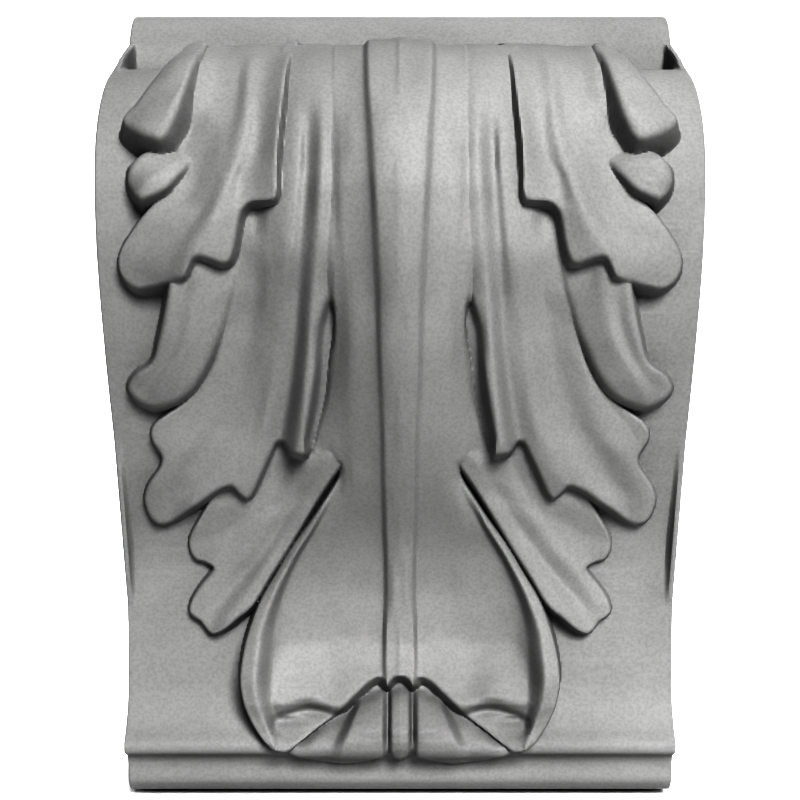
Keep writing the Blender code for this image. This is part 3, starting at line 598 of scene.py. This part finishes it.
def chord_between(line, first, last):
    """The line with a straight stretch between two of its points."""
    t = np.linspace(0, 1, last - first + 1)[:, None]
    result = line.copy()
    result[first:last + 1] = (1 - t) * line[first] + t * line[last]
    return result


def webbed_profile():
    """Side outline of the fins, which bridge the groove behind the roll and the hollow of the sweep."""
    front = [i for i in range(len(profile)) if depth[i] > WEB_FRONT]
    above = [i for i in front if height[i] > WEB_TOP]
    roll = [i for i in front if depth[i] > WEB_ROLL[0] and height[i] > WEB_ROLL[1]]
    upper = [i for i in front if height[i] > WEB_SWEEP[0]]
    lower = [i for i in front if height[i] > WEB_SWEEP[1]]
    return chord_between(chord_between(profile, above[-1], roll[0]), upper[-1], lower[-1])


lobes = [lower_lobe, middle_lobe, blade, tongue, middle_tip, upper_lobe, upper_tip, top_lobe]
relief = np.zeros((len(profile), len(across)))
relief[crest:foot] = np.maximum(np.maximum.reduce(lobes), 0)
relief[:crest] = relief[crest] * fade(arcs[:crest], arcs[crest] - FADE, arcs[crest])[:, None]
print("relief from", relief.min(), "to", round(float(relief.max()), 4), "m")

# %% From relief to points
rise = np.clip((height - ROLL_CENTRE[1]) / ROLL_SIZE[1], 0, 1)
lean = np.minimum(np.arcsin(rise), math.radians(LEAN_LIMIT))[:, None]
fin = fade(across, WIDTH / 2 - WEB, WIDTH / 2 - WEB / 2)[None, :, None]
body = profile[:, None] * (1 - fin) + webbed_profile()[:, None] * fin
along = np.gradient(profile, axis=0)
outward = np.stack([-along[:, 1], along[:, 0]], axis=1) / np.linalg.norm(along, axis=1)[:, None]
past_corner = np.maximum(across - WIDTH / 2 + ARRIS, 0)
inset = ARRIS - np.sqrt(np.maximum(ARRIS**2 - past_corner**2, 0))[None, :]
face = np.stack([np.repeat(across[None, :], len(profile), axis=0),
                 -(body[..., 0] + relief * np.cos(lean) - inset * outward[:, :1]),
                 body[..., 1] + relief * np.sin(lean) - inset * outward[:, 1:]], axis=2)
print("the face reaches", round(float(-face[..., 1].min()), 4), "m out from the wall")

# %% [markdown]
# ## The back and the plain sides
#
# The back is flat and the sides are plain, because they are built into the wall or seen only from the
# side.  The rows of the face are carried on up the back to close a loop, and columns are added that draw
# each side in to one upright line, where the mesh closes.

# %% The back and the plain sides
SEAM_DEPTH = 0.032                  # the mesh of a side closes on an upright line at this depth
SEAM_REACH = 0.104                  # that line runs from this far below the middle to this far above
SEAM_PITCH = 0.0016                 # rows that arrive closer together than this share a point
SIDE_COLUMNS = 60
back_count = int(HEIGHT / COARSE)
drop = np.linspace(0, 1, back_count + 1)[1:-1, None, None]
loop = np.concatenate([face, face[-1:] * (1 - drop) + face[:1] * drop])
edge = loop[:, -1:]
seam = edge.copy()
seam[:, :, 1] = -SEAM_DEPTH
seam[:, :, 2] = np.round(np.clip(edge[:, :, 2], -SEAM_REACH, SEAM_REACH) / SEAM_PITCH) * SEAM_PITCH
share = np.linspace(0, 1, SIDE_COLUMNS + 1)[1:][None, :, None]
side = edge * (1 - share) + seam * share
sheet = np.concatenate([loop, side], axis=1)
print("the closed half has", sheet.shape[0], "by", sheet.shape[1], "points")

# %% [markdown]
# ## The mesh
#
# A grid of points becomes a mesh when each little square of neighbours is named as a face.  The half is
# then mirrored, points that fall on each other are merged, and a Decimate step takes away points where
# the stone is flat, so the fine points are left where the carving is.  The plain sides become one flat
# face each.  The shading is then taken from the fine mesh, so the thinned one looks just as smooth.

# %% The mesh
MERGE = 0.00001                     # points closer together than this are one
TRIANGLES = 190000
CREASE = 35                         # edges turning by more degrees than this are shaded as sharp
LONG_FACE = 0.003                   # a triangle with a side longer than this counts as long
LEAN_OF_LONG = 5                    # most degrees between a long triangle and its shading


def grid_faces(rows, columns):
    """Every square of the sheet as four point numbers; the last row joins the first again."""
    first = np.arange(rows)[:, None] * columns + np.arange(columns - 1)[None, :]
    below = (first + columns) % (rows * columns)
    return np.stack([first, first + 1, below + 1, below], axis=2).reshape(-1, 4)


def mesh_of(name, points, faces):
    """Points and faces put into a mesh, doubles merged and normals turned outwards."""
    data = bpy.data.meshes.new(name)
    data.from_pydata(points.tolist(), [], faces.tolist())
    work = bmesh.new()
    work.from_mesh(data)
    bmesh.ops.remove_doubles(work, verts=work.verts, dist=MERGE)
    bmesh.ops.recalc_face_normals(work, faces=work.faces)
    work.to_mesh(data)
    work.free()
    return data


def modified(name, data, add):
    """The mesh that a temporary object has once its modifiers are worked out."""
    item = bpy.data.objects.new(name, data)
    bpy.context.scene.collection.objects.link(item)
    add(item)
    made = bpy.data.meshes.new_from_object(item.evaluated_get(bpy.context.evaluated_depsgraph_get()))
    bpy.data.objects.remove(item)
    return made


def mirrored(item):
    """Mirror across the middle; points on the middle are merged."""
    item.modifiers.new("mirror", "MIRROR").merge_threshold = MERGE


def thinned(item):
    """Collapse the shortest and flattest edges until the wanted number of triangles is left."""
    thin = item.modifiers.new("thin", "DECIMATE")
    thin.ratio = TRIANGLES / (2 * len(item.data.polygons))
    thin.use_symmetry = True
    thin.symmetry_axis = "X"


def plain_sides(data):
    """Each plain side becomes one flat face and is then cut into triangles from its outline."""
    work = bmesh.new()
    work.from_mesh(data)
    reach = WIDTH / 2 - MERGE
    flat = [face for face in work.faces if min(abs(corner.co.x) for corner in face.verts) > reach]
    bmesh.ops.dissolve_faces(work, faces=flat)
    bmesh.ops.triangulate(work, faces=[face for face in work.faces if len(face.verts) > 4])
    work.to_mesh(data)
    work.free()


def shaded_like(source):
    """A step that copies the shading normals of the finer mesh at the nearest place of its surface."""
    def add(item):
        transfer = item.modifiers.new("normals", "DATA_TRANSFER")
        transfer.object = source
        transfer.use_loop_data = True
        transfer.data_types_loops = {"CUSTOM_NORMAL"}
        transfer.loop_mapping = "NEAREST_POLYNOR"
    return add


def calmed(data):
    """Keep the shading normals of long faces near the face's own normal, so that an edge beside a long
    face doesn't draw a streak along it.  The plain sides are shaded flat."""
    normals = np.array([corner.vector for corner in data.corner_normals])
    places = np.array([vertex.co for vertex in data.vertices])
    corners = [places[list(face.vertices)] for face in data.polygons]
    counts = [len(points) for points in corners]
    flat = np.repeat(np.array([face.normal for face in data.polygons]), counts, axis=0)
    longest = np.array([np.ptp(points, axis=0).max() for points in corners])
    inner = np.array([np.abs(points[:, 0]).min() for points in corners])
    long = (longest > LONG_FACE) & (inner < WIDTH / 2 - 2 * ARRIS)
    upright = np.sum(normals * flat, axis=1)[:, None]
    aside = normals - upright * flat
    lean = np.linalg.norm(aside, axis=1)[:, None]
    most = math.tan(math.radians(LEAN_OF_LONG))
    limited = flat + aside / np.maximum(lean, TINY) * most
    leans_far = np.repeat(long, counts)[:, None] & (lean > upright * most)
    normals = np.where(leans_far, limited, normals)
    sideways = np.sign(np.concatenate(corners)[:, :1]) * np.array([[1.0, 0.0, 0.0]])
    on_side = np.repeat(inner > WIDTH / 2 - MERGE, counts)[:, None]
    normals = np.where(on_side, sideways, normals)
    normals /= np.linalg.norm(normals, axis=1)[:, None]
    data.normals_split_custom_set(normals.tolist())


rows, columns = sheet.shape[:2]
half = mesh_of("half of the block", sheet.reshape(-1, 3), grid_faces(rows, columns))
half.shade_smooth()
fine_mesh = modified("fine", half, mirrored)
thin_mesh = modified("thin", fine_mesh, thinned)
plain_sides(thin_mesh)
for data in (fine_mesh, thin_mesh):
    data.set_sharp_from_angle(angle=math.radians(CREASE))
fine_block = bpy.data.objects.new("fine block", fine_mesh)
bpy.context.scene.collection.objects.link(fine_block)
stone_mesh = modified("block", thin_mesh, shaded_like(fine_block))
bpy.data.objects.remove(fine_block)
calmed(stone_mesh)
print("the fine stone has", len(fine_mesh.polygons), "faces and the finished one", len(stone_mesh.polygons))

# %% [markdown]
# ## Limestone
#
# The stone is a fine pale limestone that has been rubbed smooth: nearly one grey, a little darker in soft
# patches, with a very fine grain that breaks up the light and hardly any shine.  Four noises of different
# sizes give the patches, the specks, the changes in roughness and the grain; they read Object
# coordinates, so they stay in place when the camera moves.

# %% Limestone
# Each noise is given by its waves per metre, the number of finer layers in it and their weight.
PATCH_NOISE = (18, 4, 0.5)
SPECK_NOISE = (900, 3, 0.5)
POLISH_NOISE = (60, 5, 0.5)
GRAIN_NOISE = (1400, 4, 0.6)
# Each stop of a ramp is a value of the noise and the colour there.
GREYS = ((0.3, (0.245, 0.2447, 0.244, 1)), (0.7, (0.273, 0.2727, 0.272, 1)))
SPECKS = ((0.35, (0.93, 0.93, 0.93, 1)), (0.6, (1, 1, 1, 1)))
ROUGHNESS = (0.65, 0.75)            # least and most
GRAIN_STRENGTH = 0.12               # share of the grain's depth that the light shows
GRAIN_DEPTH = 0.0004
SHEEN = 0.2                         # how strongly the stone mirrors; 0.5 is usual


def node(tree, kind, **settings):
    """A new node with its settings and input values filled in."""
    made = tree.nodes.new(kind)
    for name, value in settings.items():
        if name in made.inputs:
            made.inputs[name].default_value = value
        else:
            setattr(made, name, value)
    return made


def noise(tree, waves, layers, weight):
    """Noise texture that reads Object coordinates."""
    made = node(tree, "ShaderNodeTexNoise", Scale=waves, Detail=layers, Roughness=weight)
    tree.links.new(tree.nodes["place"].outputs["Object"], made.inputs["Vector"])
    return made


def ramp(tree, source, stops):
    """Colour ramp with two (position, colour) stops, driven by a noise."""
    made = tree.nodes.new("ShaderNodeValToRGB")
    for i, (position, colour) in enumerate(stops):
        stop = made.color_ramp.elements[i]
        stop.position = position
        stop.color = colour
    tree.links.new(source.outputs["Fac"], made.inputs["Fac"])
    return made


def limestone():
    """Pale grey stone: patches and specks in its colour, changes in roughness, grain in the bump."""
    material = bpy.data.materials.new("limestone")
    material.use_nodes = True
    tree = material.node_tree
    shader = tree.nodes["Principled BSDF"]
    node(tree, "ShaderNodeTexCoord").name = "place"
    patches = ramp(tree, noise(tree, *PATCH_NOISE), GREYS)
    specks = ramp(tree, noise(tree, *SPECK_NOISE), SPECKS)
    colour = node(tree, "ShaderNodeMix", data_type="RGBA", blend_type="MULTIPLY", Factor=1.0)
    first, second, mixed = (socket for socket in (*colour.inputs, *colour.outputs) if socket.type == "RGBA")
    tree.links.new(patches.outputs["Color"], first)
    tree.links.new(specks.outputs["Color"], second)
    tree.links.new(mixed, shader.inputs["Base Color"])
    polish = node(tree, "ShaderNodeMapRange")
    polish.inputs["To Min"].default_value, polish.inputs["To Max"].default_value = ROUGHNESS
    tree.links.new(noise(tree, *POLISH_NOISE).outputs["Fac"], polish.inputs["Value"])
    tree.links.new(polish.outputs["Result"], shader.inputs["Roughness"])
    grain = node(tree, "ShaderNodeBump", Strength=GRAIN_STRENGTH, Distance=GRAIN_DEPTH)
    tree.links.new(noise(tree, *GRAIN_NOISE).outputs["Fac"], grain.inputs["Height"])
    tree.links.new(grain.outputs["Normal"], shader.inputs["Normal"])
    shader.inputs["Specular IOR Level"].default_value = SHEEN
    return material


stone = limestone()
print("limestone has", len(stone.node_tree.nodes), "nodes")

# %% The block takes the CAD node's place
block = bpy.data.objects.new("carved_block", stone_mesh)
bpy.context.scene.collection.objects.link(block)
stone_mesh.materials.clear()
stone_mesh.materials.append(stone)
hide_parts(BLOCK)
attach(block, "root")

# %% [markdown]
# ## Floor, light and camera
#
# The corbel is shown as a sample in a studio: a pale floor that runs up behind it as a curved backdrop, a
# soft key light above the camera and a little to its right, a light on the paper, two lights behind the
# block that reach only its sides and back, and a camera straight in front at the height of the block's
# middle.

# %% Floor
PAPER_LEVEL = -TOP - 0.002          # the paper lies just under the block
PAPER_SIDE = 2.0                    # it runs this far to the left and to the right
PAPER_FRONT = -0.5                  # where it starts in front of the wall face
BEND_START = 0.5                    # where it starts to rise behind it
BEND = 0.4                          # radius of the bend
PAPER_TOP = 2.0                     # height at which it ends
BEND_POINTS = 24
PAPER_COLOUR = (0.9, 0.9, 0.9, 1)
PAPER_ROUGHNESS = 0.9


def backdrop():
    """A sheet: flat in front, a quarter circle, then upright behind; the same line for every x."""
    turn = np.linspace(0, math.pi / 2, BEND_POINTS)
    bend = np.stack([BEND_START + BEND * np.sin(turn), PAPER_LEVEL + BEND - BEND * np.cos(turn)], axis=1)
    line = np.vstack([[(PAPER_FRONT, PAPER_LEVEL)], bend, [(BEND_START + BEND, PAPER_TOP)]])
    points = np.array([(x, y, z) for x in (-PAPER_SIDE, PAPER_SIDE) for y, z in line])
    count = len(line)
    first = np.arange(count - 1)
    faces = np.stack([first, first + count, first + count + 1, first + 1], axis=1)
    data = bpy.data.meshes.new("backdrop")
    data.from_pydata(points.tolist(), [], faces.tolist())
    data.shade_smooth()
    item = bpy.data.objects.new("backdrop", data)
    bpy.context.scene.collection.objects.link(item)
    material = bpy.data.materials.new("white paper")
    material.use_nodes = True
    shader = material.node_tree.nodes["Principled BSDF"]
    shader.inputs["Base Color"].default_value = PAPER_COLOUR
    shader.inputs["Roughness"].default_value = PAPER_ROUGHNESS
    data.materials.append(material)


backdrop()
print("the floor lies at", round(PAPER_LEVEL, 3), "m")

# %% Light
KEY_PLACE = (0.426, -1.897, 0.917)  # above the camera, a little to its right and well behind it
KEY_SIZE = 0.7
KEY_POWER = 13.4                    # all powers in watts
REAR_PLACE = (1.6, 1.1, 0.7)        # of the right one; the left one is its mirror image
REAR_SIZE = 0.8
REAR_POWER = 5
PAPER_SPOT = (0, 0.6, 0)            # the middle of the paper behind the block
PAPER_LIGHT_HEIGHT = 1.2
PAPER_LIGHT_SIZE = 0.7
PAPER_LIGHT_POWER = 9
BEAM = 60                           # width of every light's beam in degrees
SKY = 0.35                          # strength of the white world
CONTRAST = 0.31                     # gamma of the view: below 1, it darkens the shaded parts


def area_light(name, place, aim, size, power):
    """A square soft light at a place, turned towards the aim."""
    data = bpy.data.lights.new(name, "AREA")
    data.shape = "SQUARE"
    data.size = size
    data.energy = power
    data.spread = math.radians(BEAM)
    item = bpy.data.objects.new(name, data)
    item.location = place
    item.rotation_euler = (Vector(aim) - item.location).to_track_quat("-Z", "Y").to_euler()
    bpy.context.scene.collection.objects.link(item)


area_light("key", KEY_PLACE, (0, 0, 0), KEY_SIZE, KEY_POWER)
for name, hand in (("left rear light", -1), ("right rear light", 1)):
    area_light(name, (hand * REAR_PLACE[0], *REAR_PLACE[1:]), (0, 0, 0), REAR_SIZE, REAR_POWER)
paper_light_place = (*PAPER_SPOT[:2], PAPER_LIGHT_HEIGHT)
area_light("paper light", paper_light_place, PAPER_SPOT, PAPER_LIGHT_SIZE, PAPER_LIGHT_POWER)
world = bpy.data.worlds.new("studio")
world.use_nodes = True
sky = world.node_tree.nodes["Background"]
sky.inputs["Color"].default_value = (1, 1, 1, 1)
sky.inputs["Strength"].default_value = SKY
bpy.context.scene.world = world
bpy.context.scene.view_settings.view_transform = "Standard"
bpy.context.scene.view_settings.gamma = CONTRAST
print("one key light of", KEY_POWER, "W, two rear lights, a light on the paper and a dim white sky")

# %% Camera
CAMERA_DISTANCE = 0.5651            # from the wall face
LENS = 58.5                         # focal length in millimetres
SENSOR = 36.0                       # width of the picture behind the lens, in millimetres
camera_data = bpy.data.cameras.new("camera")
camera_data.lens = LENS
camera_data.sensor_width = SENSOR
camera = bpy.data.objects.new("camera", camera_data)
camera.location = (0.0, -CAMERA_DISTANCE, 0.0)
camera.rotation_euler = (math.radians(90), 0, 0)
bpy.context.scene.collection.objects.link(camera)
bpy.context.scene.camera = camera
print("the camera stands", CAMERA_DISTANCE, "m in front of the wall")
